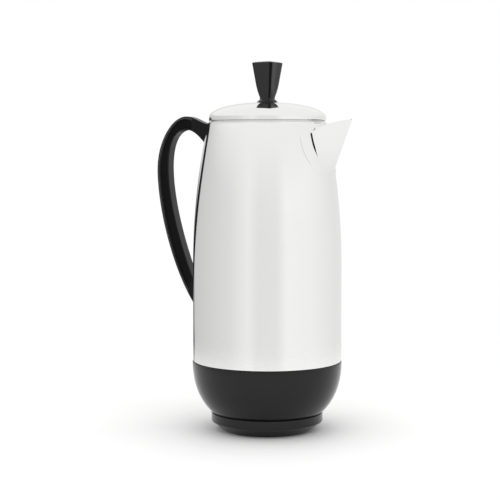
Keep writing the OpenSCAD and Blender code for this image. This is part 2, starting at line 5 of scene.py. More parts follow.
import bmesh
import bpy
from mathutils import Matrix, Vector


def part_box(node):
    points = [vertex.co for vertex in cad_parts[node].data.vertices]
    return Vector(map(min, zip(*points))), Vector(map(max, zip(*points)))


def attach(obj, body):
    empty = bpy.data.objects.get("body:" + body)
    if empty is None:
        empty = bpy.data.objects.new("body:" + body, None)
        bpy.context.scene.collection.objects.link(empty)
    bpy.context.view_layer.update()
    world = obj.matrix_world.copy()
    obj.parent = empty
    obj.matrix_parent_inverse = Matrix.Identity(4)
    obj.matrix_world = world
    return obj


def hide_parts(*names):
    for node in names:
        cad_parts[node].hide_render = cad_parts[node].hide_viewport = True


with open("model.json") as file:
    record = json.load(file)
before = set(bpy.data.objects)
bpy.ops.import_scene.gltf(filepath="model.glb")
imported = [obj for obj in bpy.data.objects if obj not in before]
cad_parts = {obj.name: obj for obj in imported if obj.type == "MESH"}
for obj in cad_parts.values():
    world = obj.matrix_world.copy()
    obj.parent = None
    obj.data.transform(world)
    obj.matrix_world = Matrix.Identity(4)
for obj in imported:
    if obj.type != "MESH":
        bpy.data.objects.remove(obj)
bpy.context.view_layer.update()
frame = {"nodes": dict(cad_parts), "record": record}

MM = 0.001
TURNS = 180                  # straight steps round a turned piece
SHARP = math.radians(38)     # edges that bend more than this stay crisp


def extent(node):
    """Lowest and highest corner of a frame node, in millimetres."""
    low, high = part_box(node)
    return low / MM, high / MM


# ---------------------------------------------------------------- sizes taken from the frame
WALL_R = extent("vessel")[1].y
MOUTH_Z = extent("vessel")[1].z
WALL_LOW_Z = extent("vessel")[0].z
BOWL_R = extent("base_shell")[1].y
SEAM_Z = extent("base_shell")[1].z - 1
FOOT_Z = extent("foot_ring")[1].z + 0.1
FOOT_R = extent("foot_ring")[1].y
LID_R = extent("lid_shell")[1].y
LID_LOW_Z = extent("lid_shell")[0].z
LID_TOP_Z = extent("lid_shell")[1].z
KNOB_LOW_Z = extent("lid_knob")[0].z
KNOB_TOP_Z = extent("lid_knob")[1].z
SPOUT_LOW_Z = extent("spout")[0].z
SPOUT_TIP_Z = extent("spout")[1].z
HANDLE_W = 2 * extent("handle")[1].y
HANDLE_REACH = -extent("handle")[0].x
HANDLE_TOP_Z = extent("handle")[1].z
HANDLE_LOW_Z = extent("handle")[0].z
BASKET_R = extent("basket")[1].y
BASKET_Z = extent("basket")[0].z
BASKET_TOP_Z = extent("basket")[1].z
INLET_LOW, INLET_HIGH = extent("inlet_housing")

LEAN_Z = 145                 # height where the wall starts to lean in
MOUTH_R = 52.2               # outer radius at the mouth
SHEET = 1.0                  # thickness of the steel
RIM_H = 1.2                  # height of the rolled rim at the mouth
NECK_R = WALL_R - 4.6        # radius of the wall inside the base
BOWL_FULL = 2.3              # fullness of the bowl's outline; an ellipse has 2
BOWL_LOW_R = FOOT_R - 0.7    # radius where the bowl meets the foot
BOWL_H = (SEAM_Z - FOOT_Z) / (1 - (BOWL_LOW_R / BOWL_R) ** BOWL_FULL) ** (1 / BOWL_FULL)
DOME_Z = 276                 # height where the lid's dome starts


# ---------------------------------------------------------------- nodes written as arithmetic
class Value:
    """A socket that can be added to, taken away, scaled and raised: each operation adds its Math node."""

    def __init__(self, nodes, socket):
        self.nodes = nodes
        self.socket = socket

    def __add__(self, other):
        return self.nodes.maths("ADD", self, other)

    def __rsub__(self, other):
        return self.nodes.maths("SUBTRACT", other, self)

    def __mul__(self, other):
        return self.nodes.maths("MULTIPLY", self, other)

    def __pow__(self, other):
        return self.nodes.maths("POWER", self, other)

    __radd__ = __add__
    __rmul__ = __mul__


class Nodes:
    """A node tree that is filled from Python expressions."""

    def __init__(self, tree):
        self.tree = tree

    def join(self, socket, value):
        if isinstance(value, Value):
            self.tree.links.new(value.socket, socket)
        elif hasattr(value, "__len__") and len(value) == 3 and len(socket.default_value) == 4:
            socket.default_value = (*value, 1)
        else:
            socket.default_value = value

    def node(self, kind, settings=None, output=0, **sockets):
        """Adds a node. A ramp's stops are given as {place: grey or colour}."""
        made = self.tree.nodes.new(kind)
        for name, setting in (settings or {}).items():
            if name == "stops":
                self.set_stops(made.color_ramp, setting)
            else:
                setattr(made, name, setting)
        for name, value in sockets.items():
            key = int(name[1:]) if name[1:].isdigit() else name.replace("_", " ")
            self.join(made.inputs[key], value)
        return Value(self, made.outputs[output])

    @staticmethod
    def set_stops(ramp, stops):
        for place, colour in stops.items():
            grey = not hasattr(colour, "__len__")
            element = ramp.elements.new(place)
            element.color = (colour,) * 3 + (1,) if grey else (*colour, 1)
        ramp.elements.remove(ramp.elements[0])
        ramp.elements.remove(ramp.elements[-1])

    def maths(self, operation, a, b=0.0, clamp=False):
        return self.node("ShaderNodeMath", {"operation": operation, "use_clamp": clamp}, _0=a, _1=b)

    def mix(self, share, a, b):
        """Colour a where share is 0 and colour b where it is 1."""
        return self.node("ShaderNodeMix", {"data_type": "RGBA"}, output=2, _0=share, _6=a, _7=b)

    def vector(self, x=0.0, y=0.0, z=0.0):
        return self.node("ShaderNodeCombineXYZ", X=x, Y=y, Z=z)

    def part(self, vector, axis):
        return self.node("ShaderNodeSeparateXYZ", output=axis, Vector=vector)

    def scaled(self, vector, by):
        return self.node("ShaderNodeVectorMath", {"operation": "MULTIPLY"}, _0=vector, _1=by)

    def step(self, value, low, high, start=0.0, end=1.0):
        """Smooth change from start at low to end at high."""
        settings = {"interpolation_type": "SMOOTHSTEP"}
        return self.node("ShaderNodeMapRange", settings, _0=value, _1=low, _2=high, _3=start, _4=end)

    def noise(self, at, size, detail=3.0, roughness=0.5):
        """Grey noise whose blotches are about size millimetres across."""
        return self.node("ShaderNodeTexNoise", Vector=at, Scale=1 / (size * MM), Detail=detail,
                         Roughness=roughness)


class Finish(Nodes):
    """A material with a Principled shader. Steady values are set on it; varying ones are joined to it."""

    def __init__(self, name, **steady):
        self.material = bpy.data.materials.new(name)
        self.material.use_nodes = True
        super().__init__(self.material.node_tree)
        self.shader = self.tree.nodes["Principled BSDF"]
        self.set(**steady)
        self.at = self.node("ShaderNodeTexCoord", output=3)

    def set(self, **sockets):
        for name, value in sockets.items():
            self.join(self.shader.inputs[name.replace("_", " ")], value)

    def turned_at(self, stretch=0.02):
        """Place on a turned piece, with the way round it squeezed, for lines that run round the piece."""
        x = self.part(self.at, 0)
        y = self.part(self.at, 1)
        radius = (x * x + y * y) ** 0.5
        return self.vector(radius, x * stretch, self.part(self.at, 2) + y * stretch)

    def bump(self, height, depth, strength=1.0):
        """Raises the surface by height times depth millimetres."""
        self.set(Normal=self.node("ShaderNodeBump", Height=height, Distance=depth * MM, Strength=strength))


def polished_steel():
    finish = Finish("polished_steel", Metallic=1.0)
    buffing = finish.noise(finish.turned_at(0.04), 0.25, 4.0)
    cloud = finish.noise(finish.at, 38, 2.0)
    smear = finish.noise(finish.scaled(finish.at, (1, 1, 0.35)), 9, 4.0, 0.6)
    finish.set(Base_Color=finish.mix(cloud, (0.865, 0.86, 0.852), (0.885, 0.885, 0.885)),
               Roughness=0.045 + 0.05 * buffing + finish.step(smear, 0.5, 0.75, 0, 0.05))
    finish.bump(buffing, 0.002)
    return finish.material


def satin_steel():
    finish = Finish("satin_steel", Metallic=1.0)
    lines = finish.noise(finish.turned_at(0.02), 0.18, 5.0, 0.7)
    cloud = finish.noise(finish.at, 14, 3.0)
    finish.set(Base_Color=finish.mix(lines, (0.66, 0.66, 0.665), (0.80, 0.80, 0.80)),
               Roughness=0.2 + 0.16 * lines + 0.06 * cloud)
    finish.bump(lines, 0.012)
    return finish.material


def plated_steel():
    finish = Finish("plated_steel", Metallic=1.0)
    grain = finish.noise(finish.at, 0.5, 4.0)
    cloud = finish.noise(finish.at, 6, 2.0)
    finish.set(Base_Color=finish.mix(cloud, (0.52, 0.53, 0.54), (0.66, 0.67, 0.68)),
               Roughness=0.24 + 0.14 * grain)
    finish.bump(grain, 0.01)
    return finish.material


def gloss_phenolic():
    finish = Finish("gloss_phenolic", IOR=1.4)
    flow = finish.noise(finish.scaled(finish.at, (1, 1, 0.4)), 16, 3.0)
    dust = finish.noise(finish.at, 0.35, 2.0)
    waves = finish.noise(finish.at, 11, 1.0)
    finish.set(Base_Color=finish.mix(flow, (0.0008, 0.0008, 0.0008), (0.0022, 0.0021, 0.002)),
               Roughness=0.05 + 0.05 * flow + finish.step(dust, 0.62, 0.8, 0, 0.12))
    finish.bump(waves, 0.03)
    return finish.material


def satin_phenolic(name, ior, dark, light):
    """Black moulded plastic whose tone wanders between two greys."""
    finish = Finish(name, IOR=ior)
    grain = finish.noise(finish.at, 0.4, 3.0, 0.6)
    # Blotches of tone; in the lighter copy used on the handle's channel steps they vary a painted highlight
    wear_and_painted_highlight = finish.noise(finish.at, 12, 3.0)
    finish.set(Base_Color=finish.mix(wear_and_painted_highlight, (dark,) * 3, (light,) * 3),
               Roughness=0.2 + 0.12 * grain + 0.08 * wear_and_painted_highlight)
    finish.bump(grain, 0.012)
    return finish.material


def painted_shade_phenolic():
    """Painted shade: a duller, less reflective black for the floor of the handle's side recesses."""
    finish = Finish("painted_shade_phenolic", IOR=1.2)
    grain = finish.noise(finish.at, 0.5, 4.0, 0.7)
    finish.set(Base_Color=finish.mix(grain, (0.002, 0.002, 0.002), (0.005, 0.0049, 0.0047)),
               Roughness=0.5 + 0.2 * grain)
    finish.bump(grain, 0.03)
    return finish.material


def cast_aluminium():
    finish = Finish("cast_aluminium", Metallic=1.0)
    grain = finish.noise(finish.at, 0.9, 5.0, 0.65)
    finish.set(Base_Color=finish.mix(grain, (0.58, 0.585, 0.59), (0.76, 0.765, 0.77)),
               Roughness=0.34 + 0.2 * grain)
    finish.bump(grain, 0.04)
    return finish.material


def tinted_sheath():
    finish = Finish("tinted_sheath", Metallic=1.0)
    heat = finish.noise(finish.at, 7, 3.0)
    colour = finish.node("ShaderNodeValToRGB", {"stops": {0.3: (0.2, 0.19, 0.2), 0.5: (0.34, 0.3, 0.26),
                                                          0.7: (0.3, 0.24, 0.3)}}, Fac=heat)
    finish.set(Base_Color=colour, Roughness=0.35 + 0.2 * heat)
    finish.bump(finish.noise(finish.at, 0.5, 3.0), 0.015)
    return finish.material


def mottled(name, dark, light, blotch, rough, relief, **steady):
    """A matt material whose colour wanders between two tones."""
    finish = Finish(name, **steady)
    cloud = finish.noise(finish.at, blotch, 4.0, 0.6)
    grain = finish.noise(finish.at, blotch / 8, 3.0)
    finish.set(Base_Color=finish.mix(cloud, dark, light), Roughness=rough + 0.12 * grain)
    finish.bump(grain, relief)
    return finish.material


def braided_lead():
    finish = Finish("braided_lead")
    weave = finish.node("ShaderNodeTexWave", {"wave_type": "BANDS", "bands_direction": "DIAGONAL"},
                        output=1, Vector=finish.at, Scale=700.0, Distortion=1.5)
    finish.set(Base_Color=finish.mix(weave, (0.52, 0.49, 0.4), (0.74, 0.71, 0.62)),
               Roughness=0.7 + 0.1 * weave)
    finish.bump(weave, 0.08)
    return finish.material


FINISHES = {
    "steel": polished_steel(),
    "brushed": satin_steel(),
    "hardware": plated_steel(),
    "gloss_black": gloss_phenolic(),
    "satin_black": satin_phenolic("satin_phenolic", 1.38, 0.013, 0.019),
    "aluminium": cast_aluminium(),
    "element": tinted_sheath(),
    "mica": mottled("mica_sleeve", (0.42, 0.37, 0.29), (0.62, 0.58, 0.48), 6, 0.45, 0.05),
    "ceramic": mottled("cream_ceramic", (0.66, 0.6, 0.46), (0.78, 0.73, 0.6), 4, 0.3, 0.02),
    "silicone": mottled("red_silicone", (0.3, 0.07, 0.045), (0.38, 0.1, 0.06), 8, 0.5, 0.02),
    "brass": mottled("turned_brass", (0.62, 0.44, 0.17), (0.76, 0.58, 0.26), 5, 0.2, 0.01, Metallic=1.0),
    "contact": mottled("nickel_plate", (0.62, 0.6, 0.55), (0.74, 0.72, 0.67), 4, 0.12, 0.004, Metallic=1.0),
    "lead": braided_lead(),
}


INNER = mottled("drawn_inside", (0.56, 0.56, 0.56), (0.7, 0.7, 0.7), 20, 0.38, 0.01, Metallic=0.72)
GRIP = satin_phenolic("grip_phenolic", 1.27, 0.0012, 0.003)
# Painted highlight: a lighter, more reflective copy of the black plastic, laid along the outer step of the
# handle's side channels
PAINTED_HIGHLIGHT = satin_phenolic("painted_highlight_phenolic", 1.45, 0.02, 0.05)
# Painted shade: a duller, less reflective black that renders darker, used on the handle's channel floors, in
# the spout's creases and along the knob's edges
PAINTED_SHADE = painted_shade_phenolic()


# ---------------------------------------------------------------- mesh work
def link(name, mesh):
    piece = bpy.data.objects.new(name, mesh)
    bpy.context.scene.collection.objects.link(piece)
    return piece


def mesh_of(points, faces, is_sheet=False):
    """Mesh from points in millimetres. A closed one gets its faces turned outwards."""
    mesh = bpy.data.meshes.new("made")
    mesh.from_pydata([Vector(point) * MM for point in points], [], faces)
    if is_sheet:
        return mesh
    shell = bmesh.new()
    shell.from_mesh(mesh)
    bmesh.ops.recalc_face_normals(shell, faces=shell.faces)
    shell.to_mesh(mesh)
    shell.free()
    return mesh


def baked(piece):
    """Turns a piece's modifiers into plain mesh."""
    graph = bpy.context.evaluated_depsgraph_get()
    mesh = bpy.data.meshes.new_from_object(piece.evaluated_get(graph))
    piece.modifiers.clear()
    piece.data = mesh
    return piece


def cut(piece, tool_mesh):
    tool = link("tool", tool_mesh)
    modifier = piece.modifiers.new("cut", "BOOLEAN")
    modifier.operation = "DIFFERENCE"
    modifier.solver = "EXACT"
    modifier.object = tool
    baked(piece)
    bpy.data.objects.remove(tool)
    return piece


def finished(piece, slot, body, *nodes, finish=None):
    """Gives a piece its finish, its even shading, its body and the frame nodes that it stands for."""
    mesh = piece.data
    mesh.materials.clear()
    mesh.materials.append(finish or FINISHES[slot])
    mesh.shade_smooth()
    mesh.set_sharp_from_angle(angle=SHARP)
    even = piece.modifiers.new("even", "WEIGHTED_NORMAL")
    even.keep_sharp = True
    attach(piece, body)
    if nodes:
        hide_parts(*nodes)
    return piece


def ring_faces(rings, closed_rows, closed_round=True):
    """Quads between neighbouring rings of equally many points, numbered ring by ring."""
    count = len(rings[0])
    rows = len(rings)
    faces = []
    for j in range(rows if closed_rows else rows - 1):
        for i in range(count if closed_round else count - 1):
            a = j * count + i
            b = j * count + (i + 1) % count
            up = ((j + 1) % rows - j) * count
            faces.append((a, b, b + up, a + up))
    return faces


def polar(radius, angle, z):
    return (radius * math.cos(angle), radius * math.sin(angle), z)


def lathe(outline, steps=TURNS):
    """Turns a closed outline of (radius, height) points about the pot's axis."""
    rings = [[polar(radius, 2 * math.pi * i / steps, z) for i in range(steps)] for radius, z in outline]
    mesh = mesh_of([point for ring in rings for point in ring], ring_faces(rings, True))
    shell = bmesh.new()
    shell.from_mesh(mesh)
    bmesh.ops.remove_doubles(shell, verts=shell.verts, dist=1e-7)
    bmesh.ops.recalc_face_normals(shell, faces=shell.faces)
    shell.to_mesh(mesh)
    shell.free()
    return mesh


def rounded(corners, steps=5):
    """Closed outline from (x, y, fillet) corners."""
    outline = []
    for i, (x, y, fillet) in enumerate(corners):
        here = Vector((x, y))
        back = Vector(corners[i - 1][:2]) - here
        on = Vector(corners[(i + 1) % len(corners)][:2]) - here
        half = back.angle(on, math.pi) / 2
        if not fillet or half > math.pi / 2 - 0.01:
            outline.append(tuple(here))
            continue
        reach = min(fillet / math.tan(half), 0.49 * back.length, 0.49 * on.length)
        start = back.normalized() * reach
        end = on.normalized() * reach
        centre = (back.normalized() + on.normalized()).normalized() * (reach / math.cos(half))
        arc_r = (start - centre).length
        for k in range(steps + 1):
            arm = (start - centre).slerp(end - centre, k / steps) * arc_r
            outline.append(tuple(here + centre + arm))
    return outline


def bent(x, y, fillet=0.0):
    return (x, y, fillet)


def smooth(low, high, x):
    t = min(1.0, max(0.0, (x - low) / (high - low)))
    return t * t * (3 - 2 * t)


def curve_at(controls, t):
    """Point on a curve with four control points."""
    a, b, c, d = (Vector(point) for point in controls)
    return a * (1 - t) ** 3 + b * 3 * t * (1 - t) ** 2 + c * 3 * t * t * (1 - t) + d * t ** 3


# ---------------------------------------------------------------- vessel
LEAN_H = MOUTH_Z - LEAN_Z
LEAN_IN = WALL_R - MOUTH_R
LEAN_ARC = (LEAN_H ** 2 + LEAN_IN ** 2) / (2 * LEAN_IN)


def wall_r(z):
    """Outer radius of the steel wall at a height."""
    if z <= LEAN_Z:
        return WALL_R
    return WALL_R - LEAN_ARC + math.sqrt(LEAN_ARC ** 2 - (z - LEAN_Z) ** 2)


def strainer_tool(low_z=240, rows=5, pitch=5.2, radius=1.6):
    """Pegs for the triangle of holes behind the spout."""
    points = []
    faces = []
    sides = 20
    for row in range(rows):
        for i in range(row + 1):
            turn = math.radians((i - row / 2) * pitch)
            z = low_z + row * pitch
            start = len(points)
            for reach in (wall_r(z) - 6, wall_r(z) + 6):
                for k in range(sides):
                    a = 2 * math.pi * k / sides
                    y = radius * math.cos(a)
                    points.append((reach * math.cos(turn) - y * math.sin(turn),
                                   reach * math.sin(turn) + y * math.cos(turn), z + radius * math.sin(a)))
            ends = [tuple(range(start, start + sides)), tuple(range(start + sides, start + 2 * sides))]
            walls = [(start + k, start + (k + 1) % sides, start + sides + (k + 1) % sides, start + sides + k)
                     for k in range(sides)]
            faces += ends + walls
    return mesh_of(points, faces)


def make_vessel():
    lean = [LEAN_Z + LEAN_H * i / 26 for i in range(26)]
    shoulder = SEAM_Z + 0.1
    rim_r = MOUTH_R + 0.15
    rim_in_r = MOUTH_R - 2.6
    rim_z = MOUTH_Z - RIM_H
    corners = [bent(NECK_R, WALL_LOW_Z), bent(NECK_R, shoulder - 0.6, 0.5),
               bent(NECK_R + 0.4, shoulder, 0.3), bent(WALL_R, shoulder, 0.9)]
    corners += [bent(wall_r(z), z) for z in lean]
    corners += [bent(rim_r, rim_z, 0.4), bent(rim_r, MOUTH_Z, 0.6), bent(rim_in_r, MOUTH_Z, 0.5),
                bent(rim_in_r, rim_z, 0.5), bent(wall_r(rim_z) - SHEET, rim_z, 0.4)]
    corners += [bent(wall_r(z) - SHEET, min(z, MOUTH_Z - 3)) for z in reversed(lean)]
    corners += [bent(WALL_R - SHEET, shoulder + SHEET, 0.6), bent(NECK_R - SHEET, shoulder + SHEET, 0.6),
                bent(NECK_R - SHEET, WALL_LOW_Z)]
    vessel = link("vessel_wall", lathe(rounded(corners)))
    cut(vessel, strainer_tool())
    finished(vessel, "steel", "pot", "vessel")
    vessel.data.materials.append(INNER)
    for polygon in vessel.data.polygons:
        x, y, z = polygon.center / MM
        is_inside = z < MOUTH_Z - RIM_H - 0.1 and math.hypot(x, y) < wall_r(z) - 0.7 * SHEET
        polygon.material_index = int(is_inside)
    return vessel


# ---------------------------------------------------------------- spout
SPOUT_HALF = math.radians(27)    # half of the spout's width, as an angle about the pot's axis
SPOUT_ROOT_Z = SPOUT_TIP_Z - 11  # height where the rim meets the wall
SPOUT_LEAN = 0.365               # how far the nose comes out for each millimetre of height
SPOUT_PUFF = 0.15                # how far the sheet's outside stands off the wall at its root
NOSE_ROUND = 0.12                # roundness of the nose, as a share of the half width
FLANGE = math.radians(12.5)      # width of the soldered flange beside the beak
FLANGE_DROP = 4.5
SPOUT_COLS = 26
SPOUT_ROWS = 34
FLANGE_COLS = 8


def spout_point(v, u):
    """Point on the outside of the sheet: v runs up, u across from root to root, past 1 on the flange."""
    across = min(1.0, abs(u))
    past = max(0, abs(u) - 1)
    rim_z = SPOUT_TIP_Z - (SPOUT_TIP_Z - SPOUT_ROOT_Z) * across ** 2 - FLANGE_DROP * past ** 2
    z = SPOUT_LOW_Z + v * (rim_z - SPOUT_LOW_Z)
    skin = wall_r(z) + SPOUT_PUFF
    half = SPOUT_HALF * math.sqrt(1 - (1 - (0.02 + 0.98 * v)) ** 2)
    nose = max(skin, wall_r(SPOUT_LOW_Z) + 0.5 + SPOUT_LEAN * (z - SPOUT_LOW_Z))
    full = math.sqrt(1 + NOSE_ROUND ** 2) - NOSE_ROUND
    k = (math.sqrt(across ** 2 + NOSE_ROUND ** 2) - NOSE_ROUND) / full
    side = math.copysign(1, u)
    if abs(u) <= 1:
        return ((1 - k) * nose + k * skin * math.cos(half), side * k * skin * math.sin(half), z)
    angle = half + FLANGE * past
    radius = skin + 0.45
    return (radius * math.cos(angle), side * radius * math.sin(angle), z)


def make_spout():
    spread = [i / SPOUT_COLS for i in range(-SPOUT_COLS, SPOUT_COLS + 1)]
    flange = [1 + i / FLANGE_COLS for i in range(1, FLANGE_COLS + 1)]
    us = [-u for u in reversed(flange)] + spread + flange
    vs = [1 - math.cos(math.pi / 2 * i / SPOUT_ROWS) for i in range(SPOUT_ROWS + 1)]
    rows = [[spout_point(v, u) for u in us] for v in vs]
    mesh = mesh_of([point for row in rows for point in row], ring_faces(rows, False, False), True)
    spout = link("spout_beak", mesh)
    sheet = spout.modifiers.new("sheet", "SOLIDIFY")
    sheet.thickness = 1.0 * MM
    sheet.offset = -1
    sheet.use_even_offset = True
    edge = spout.modifiers.new("edge", "BEVEL")
    edge.width = 0.3 * MM
    edge.segments = 3
    edge.limit_method = "ANGLE"
    edge.angle_limit = math.radians(60)
    baked(spout)
    finished(spout, "steel", "pot", "spout")
    spout.data.materials.append(INNER)
    for polygon in spout.data.polygons:
        x, y, z = polygon.normal
        outwards = x + abs(y) if polygon.center.y * y >= 0 else x - abs(y)
        is_inside = outwards < -0.3 and z < 0.8
        polygon.material_index = int(is_inside)
    return spout


def tube(path, radii, sides=10):
    """Tube along points in millimetres, with a radius at each and closed ends."""
    rows = []
    for i, point in enumerate(path):
        along = (Vector(path[min(i + 1, len(path) - 1)]) - Vector(path[max(i - 1, 0)])).normalized()
        side = along.cross(Vector((0.3, 0.1, 0.95))).normalized()
        up = along.cross(side)
        turns = [2 * math.pi * k / sides for k in range(sides)]
        rows.append([Vector(point) + radii[i] * (math.cos(a) * side + math.sin(a) * up) for a in turns])
    faces = ring_faces(rows, False)
    faces += [tuple(range(sides)), tuple(range(sides * (len(rows) - 1), sides * len(rows)))]
    return mesh_of([point for row in rows for point in row], faces)


def make_spout_crease_shade(side):
    """Dark strip of painted shade in the crease between beak and flange; it thins out downwards."""
    steps = 24
    vs = [0.42 + 0.56 * i / steps for i in range(steps + 1)]
    path = [spout_point(v, side) for v in vs]
    radii = [0.12 + 0.85 * smooth(0.42, 0.66, v) * (1 - smooth(0.95, 1.02, v)) for v in vs]
    name = "spout_crease_shade_left" if side > 0 else "spout_crease_shade_right"
    return finished(link(name, tube(path, radii)), "satin_black", "pot", finish=PAINTED_SHADE)


# ---------------------------------------------------------------- handle
RECESS_DEPTH = 2.0               # depth of the channel along each side
LEAST_DEPTH = 0.12               # what is left of it at the ends
OUTER_BORDER = 1.9
INNER_BORDER = 1.3


def handle_outlines():
    """Matched outer and inner curves, (distance from the axis, height), from the mouth downwards."""
    grip = 11.1
    top = HANDLE_TOP_Z
    reach = HANDLE_REACH
    inner = reach - grip
    low = HANDLE_LOW_Z
    return [
        ([(54, 270.5), (62, 272), (68, top), (75.5, top)],
         [(54, 250), (62, 259), (68, 267), (78, 265.5)], 14),
        ([(75.5, top), (88.8, top), (reach, 256), (reach, 230)],
         [(78, 265.5), (87.2, 263.5), (inner, 252), (inner, 232)], 22),
        ([(reach, 230), (reach, 195), (88.8, 138), (66, low)],
         [(inner, 232), (inner, 200), (79.2, 155), (64, 121)], 40),
    ]


def handle_section(half, depth, width, outer_border, inner_border):
    """Half of the section, from the middle of the outer face round a side to the middle of the inner."""
    fillet = 1.6
    slope = min(0.9, 0.3 * half)
    outer = min(outer_border, half - slope - 0.4)
    inner = min(inner_border, half - slope - 0.4)
    corners = [bent(half, 0), bent(half, width, fillet), bent(half - outer, width, 0.3),
               bent(half - outer - slope, width - depth, 0.5), bent(-half + inner + 0.6, width - depth, 0.4),
               bent(-half + inner, width, 0.3), bent(-half, width, fillet), bent(-half, 0)]
    return rounded(corners, 4)


def make_handle():
    width = HANDLE_W / 2
    rows = []
    recessed = []
    stepped = []
    total = sum(steps for _, _, steps in handle_outlines())
    done = 0
    for outer, inner, steps in handle_outlines():
        for i in range(steps + (done + steps == total)):
            far = curve_at(outer, i / steps)
            near = curve_at(inner, i / steps)
            along = (done + i) / total
            share = smooth(0.11, 0.19, along) * (1 - smooth(0.86, 0.96, along))
            depth = RECESS_DEPTH * share + LEAST_DEPTH
            half = (far - near).length / 2
            middle = (far + near) / 2
            out = (far - near).normalized()
            side = handle_section(half, depth, width, OUTER_BORDER, INNER_BORDER)
            loop = side + [(x, -y) for x, y in reversed(side)][1:-1]
            rows.append([(-(middle.x + x * out.x), y, middle.y + x * out.y) for x, y in loop])
            floor_y = width - 0.8 * depth
            is_deep = depth > 0.4
            # Faces on the channel floor, which get the painted shade material
            recessed.append([is_deep and abs(y) < floor_y and abs(x) < half - 1.2 for x, y in loop])
            # Faces on the outer step of each channel, which get the painted highlight material
            stepped.append([is_deep and half - 3.2 < x < half - 0.9 for x, _ in loop])
        done += steps
    for end in (0, -1):
        rows[end] = [(-math.sqrt((wall_r(z) - 0.5) ** 2 - y * y), y, z) for _, y, z in rows[end]]
    count = len(rows[0])
    faces = ring_faces(rows, False)
    sunk = [all(recessed[a // count][a % count] for a in face) for face in faces] + [False, False]
    wear_and_painted_highlight = [all(stepped[a // count][a % count] for a in face) for face in faces] + [False, False]
    faces += [tuple(range(count)), tuple(range(count * (len(rows) - 1), count * len(rows)))]
    handle = finished(link("handle_grip", mesh_of([point for row in rows for point in row], faces)),
                      "satin_black", "pot", "handle", finish=GRIP)
    # The second material paints shade on the channel floors
    handle.data.materials.append(PAINTED_SHADE)
    # The third material paints a highlight line along the channels' outer steps
    handle.data.materials.append(PAINTED_HIGHLIGHT)
    for polygon, is_sunk, is_painted_highlight in zip(handle.data.polygons, sunk, wear_and_painted_highlight):
        polygon.material_index = 1 if is_sunk else 2 if is_painted_highlight else 0
    return handle


# ---------------------------------------------------------------- base
def bowl_r(z, inset=0.0):
    depth = max(0, SEAM_Z - z) / (BOWL_H - inset)
    return (BOWL_R - inset) * max(0, 1 - depth ** BOWL_FULL) ** (1 / BOWL_FULL)


def inlet_tool(gap=0.3, corner=2.5):
    """Block with round corners that passes through the wall where the inlet sits."""
    low, high = INLET_LOW, INLET_HIGH
    outline = rounded([bent(low.y - gap, low.z - gap, corner), bent(high.y + gap, low.z - gap, corner),
                       bent(high.y + gap, high.z + gap, corner), bent(low.y - gap, high.z + gap, corner)], 6)
    rows = [[(x, y, z) for y, z in outline] for x in (-BOWL_R - 5, high.x)]
    count = len(outline)
    faces = ring_faces(rows, False) + [tuple(range(count)), tuple(range(count, 2 * count))]
    return mesh_of([point for row in rows for point in row], faces)


def make_base_shell():
    wall = 2.6
    floor_r = 40
    groove_in_r = 43.4
    groove_out_r = 46
    groove_z = FOOT_Z - 2.6
    zs = [FOOT_Z + (SEAM_Z - 1.2 - FOOT_Z) * i / 30 for i in range(31)]
    inner = [max(z, FOOT_Z + wall) for z in reversed(zs)]
    corners = [bent(floor_r, FOOT_Z, 0.4), bent(groove_in_r, FOOT_Z), bent(groove_in_r, groove_z, 0.3),
               bent(groove_out_r, groove_z, 0.3), bent(groove_out_r, FOOT_Z)]
    corners += [bent(bowl_r(z), z, 0.2 if z == zs[0] else 0) for z in zs]
    corners += [bent(BOWL_R - 0.05, SEAM_Z, 0.7), bent(BOWL_R - wall, SEAM_Z, 0.3)]
    corners += [bent(bowl_r(z, wall), z) for z in inner]
    corners += [bent(floor_r, FOOT_Z + wall, 0.4)]
    shell = link("base_bowl", lathe(rounded(corners)))
    cut(shell, inlet_tool())
    return finished(shell, "gloss_black", "pot", "base_shell")


def make_foot_ring():
    rest_r = FOOT_R - 10.4
    bevel_z = 8.3
    top = FOOT_Z - 0.1
    inner_r = 34
    seat_r = 46.2
    web = 3.2
    corners = [bent(inner_r, 0, 0.4), bent(rest_r, 0, 0.9), bent(FOOT_R, bevel_z, 1.2),
               bent(FOOT_R, top, 0.35), bent(seat_r, top, 0.3), bent(seat_r, bevel_z + 1.4, 0.5),
               bent(rest_r - 0.8, web, 0.5), bent(inner_r, web, 0.4)]
    foot = link("foot_rim", lathe(rounded(corners)))
    return finished(foot, "gloss_black", "pot", "foot_ring")


# ---------------------------------------------------------------- lid
def dome_z(radius, inset=0.0):
    share = min(1.0, radius / (LID_R - inset))
    return DOME_Z + (LID_TOP_Z - DOME_Z - inset) * (1 - share ** 2.2) ** 0.5


def make_lid_shell():
    hole = 2.1
    turns = [math.pi / 2 * i / 26 for i in range(26)]
    outer = [LID_R * math.cos(a) for a in turns]
    corners = [bent(LID_R - SHEET - 0.3, LID_LOW_Z, 0.4), bent(LID_R, LID_LOW_Z, 0.6)]
    corners += [bent(r, dome_z(r)) for r in outer]
    corners += [bent(hole, dome_z(hole)), bent(hole, dome_z(hole, SHEET))]
    inner = [r * (LID_R - SHEET) / LID_R for r in reversed(outer)]
    corners += [bent(r, dome_z(r, SHEET)) for r in inner]
    lid = link("lid_dome", lathe(rounded(corners)))
    return finished(lid, "steel", "lid", "lid_shell")


KNOB_TURN = math.radians(-12)
WAIST_R = 6.0                # half width of the knob where it is narrowest
FLARE = 4.4                  # how much wider it is at the top
KNOB_EDGE = 4.6              # half width of the strip of painted shade along each of the knob's edges, in degrees
KNOB_HOLLOW = 0.05           # how far the knob's faces are hollowed, as a share of their half width


def knob_outline(half, square, hollow, sides):
    """Square with round corners and slightly hollow faces; a circle at squareness 2."""
    outline = []
    for i in range(sides):
        angle = 2 * math.pi * i / sides
        c, s = math.cos(angle), math.sin(angle)
        radius = half / (abs(c) ** square + abs(s) ** square) ** (1 / square)
        radius *= 1 - hollow * math.cos(2 * angle) ** 2
        outline.append((radius * math.cos(angle + KNOB_TURN), radius * math.sin(angle + KNOB_TURN)))
    return outline


